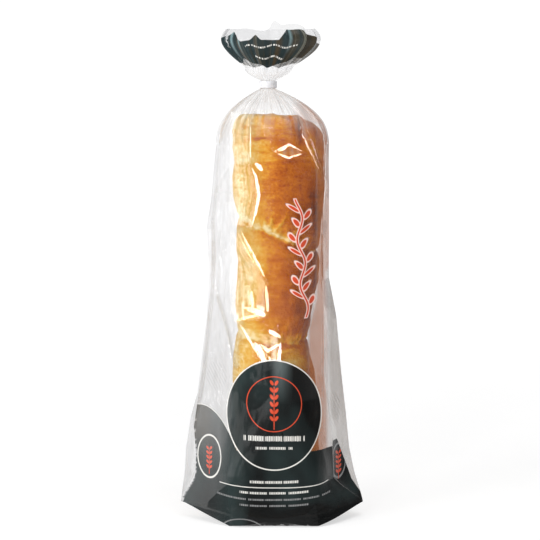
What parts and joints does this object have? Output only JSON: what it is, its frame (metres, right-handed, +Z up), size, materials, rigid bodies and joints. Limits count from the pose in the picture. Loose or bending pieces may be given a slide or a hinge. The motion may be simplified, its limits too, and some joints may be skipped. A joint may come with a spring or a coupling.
{
  "type": "bagged brioche loaf",
  "caption": "Long plaited brioche loaf standing upright in a clear printed side-gusset bag, gathered and tied above the loaf with an open frill.",
  "frame": {"origin": "middle of the footprint's bounding box, on the table under the pack", "axes": "+Z up along the loaf to the tied neck, -Y towards the printed front, +X to the right seen from the front"},
  "size_m": [0.1846, 0.1073, 0.5003],
  "materials": {
    "bag_film": "clear glossy film with dark and orange print",
    "band_plastic": "whitish satin plastic",
    "brioche_crust": "baked golden brown crust with an egg glaze"
  },
  "bodies": {
    "root": {"bag": "bag_film", "neck_band": "band_plastic"}
  },
  "joints": []
}
